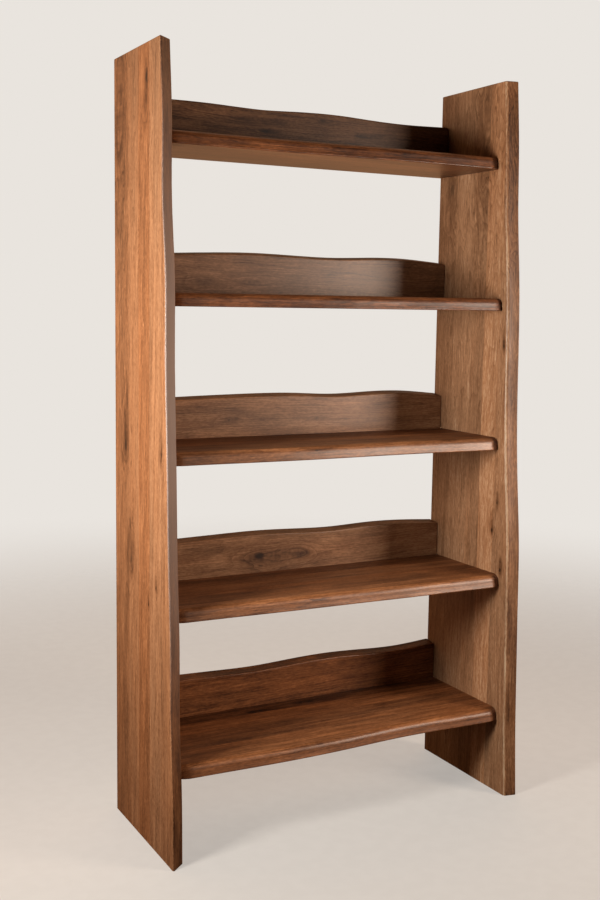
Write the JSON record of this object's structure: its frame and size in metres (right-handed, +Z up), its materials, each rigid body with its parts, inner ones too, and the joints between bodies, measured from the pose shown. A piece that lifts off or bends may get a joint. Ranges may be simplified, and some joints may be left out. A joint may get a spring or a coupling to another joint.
{
  "type": "live-edge bookcase",
  "caption": "Open bookcase of solid hardwood with natural live edges: upright side slabs carry fixed shelves, each with a low wavy rail along its back.",
  "frame": {"origin": "on the floor, in the middle of the bounding box", "axes": "+X to the right seen from the front, +Y from the front to the back, +Z up"},
  "size_m": [1, 0.39, 1.9],
  "materials": {
    "side_hardwood": "satin lacquer",
    "shelf_hardwood": "satin lacquer",
    "rail_hardwood": "satin lacquer",
    "dowel_beech": "raw"
  },
  "bodies": {
    "root": {"left_side_slab": "side_hardwood", "right_side_slab": "side_hardwood", "shelf_1": "shelf_hardwood", "shelf_2": "shelf_hardwood", "shelf_3": "shelf_hardwood", "shelf_4": "shelf_hardwood", "shelf_5": "shelf_hardwood", "back_rail_1": "rail_hardwood", "back_rail_2": "rail_hardwood", "back_rail_3": "rail_hardwood", "back_rail_4": "rail_hardwood", "back_rail_5": "rail_hardwood", "shelf_1_left_dowels": "dowel_beech", "shelf_1_right_dowels": "dowel_beech", "rail_1_left_dowels": "dowel_beech", "rail_1_right_dowels": "dowel_beech", "rail_1_foot_dowels": "dowel_beech", "shelf_2_left_dowels": "dowel_beech", "shelf_2_right_dowels": "dowel_beech", "rail_2_left_dowels": "dowel_beech", "rail_2_right_dowels": "dowel_beech", "rail_2_foot_dowels": "dowel_beech", "shelf_3_left_dowels": "dowel_beech", "shelf_3_right_dowels": "dowel_beech", "rail_3_left_dowels": "dowel_beech", "rail_3_right_dowels": "dowel_beech", "rail_3_foot_dowels": "dowel_beech", "shelf_4_left_dowels": "dowel_beech", "shelf_4_right_dowels": "dowel_beech", "rail_4_left_dowels": "dowel_beech", "rail_4_right_dowels": "dowel_beech", "rail_4_foot_dowels": "dowel_beech", "shelf_5_left_dowels": "dowel_beech", "shelf_5_right_dowels": "dowel_beech", "rail_5_left_dowels": "dowel_beech", "rail_5_right_dowels": "dowel_beech", "rail_5_foot_dowels": "dowel_beech"}
  },
  "joints": []
}
